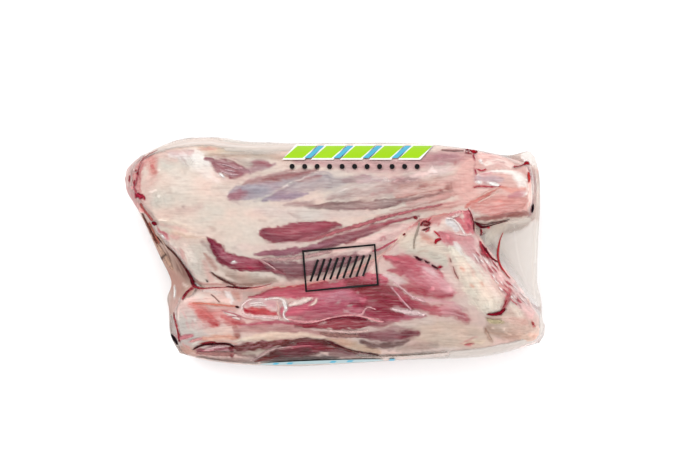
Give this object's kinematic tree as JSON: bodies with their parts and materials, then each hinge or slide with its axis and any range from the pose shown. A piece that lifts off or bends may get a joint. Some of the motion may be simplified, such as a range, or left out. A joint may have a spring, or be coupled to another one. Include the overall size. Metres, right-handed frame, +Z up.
{
  "type": "vacuum pack of raw lamb foreshanks",
  "caption": "Clear shrink bag pulled tight over raw lamb foreshanks that lie head to tail, the broad elbow of one beside the narrow wrist of the other.",
  "frame": {"origin": "on the table, under the middle of the pack's outline", "axes": "+X along the shanks, towards the wrist of the back shank; +Y from the front shank to the back shank; +Z up"},
  "size_m": [0.227, 0.124, 0.0606],
  "materials": {
    "film": "clear gloss shrink film, close on the meat"
  },
  "bodies": {
    "root": {"sealed_pack": "film"}
  },
  "joints": []
}
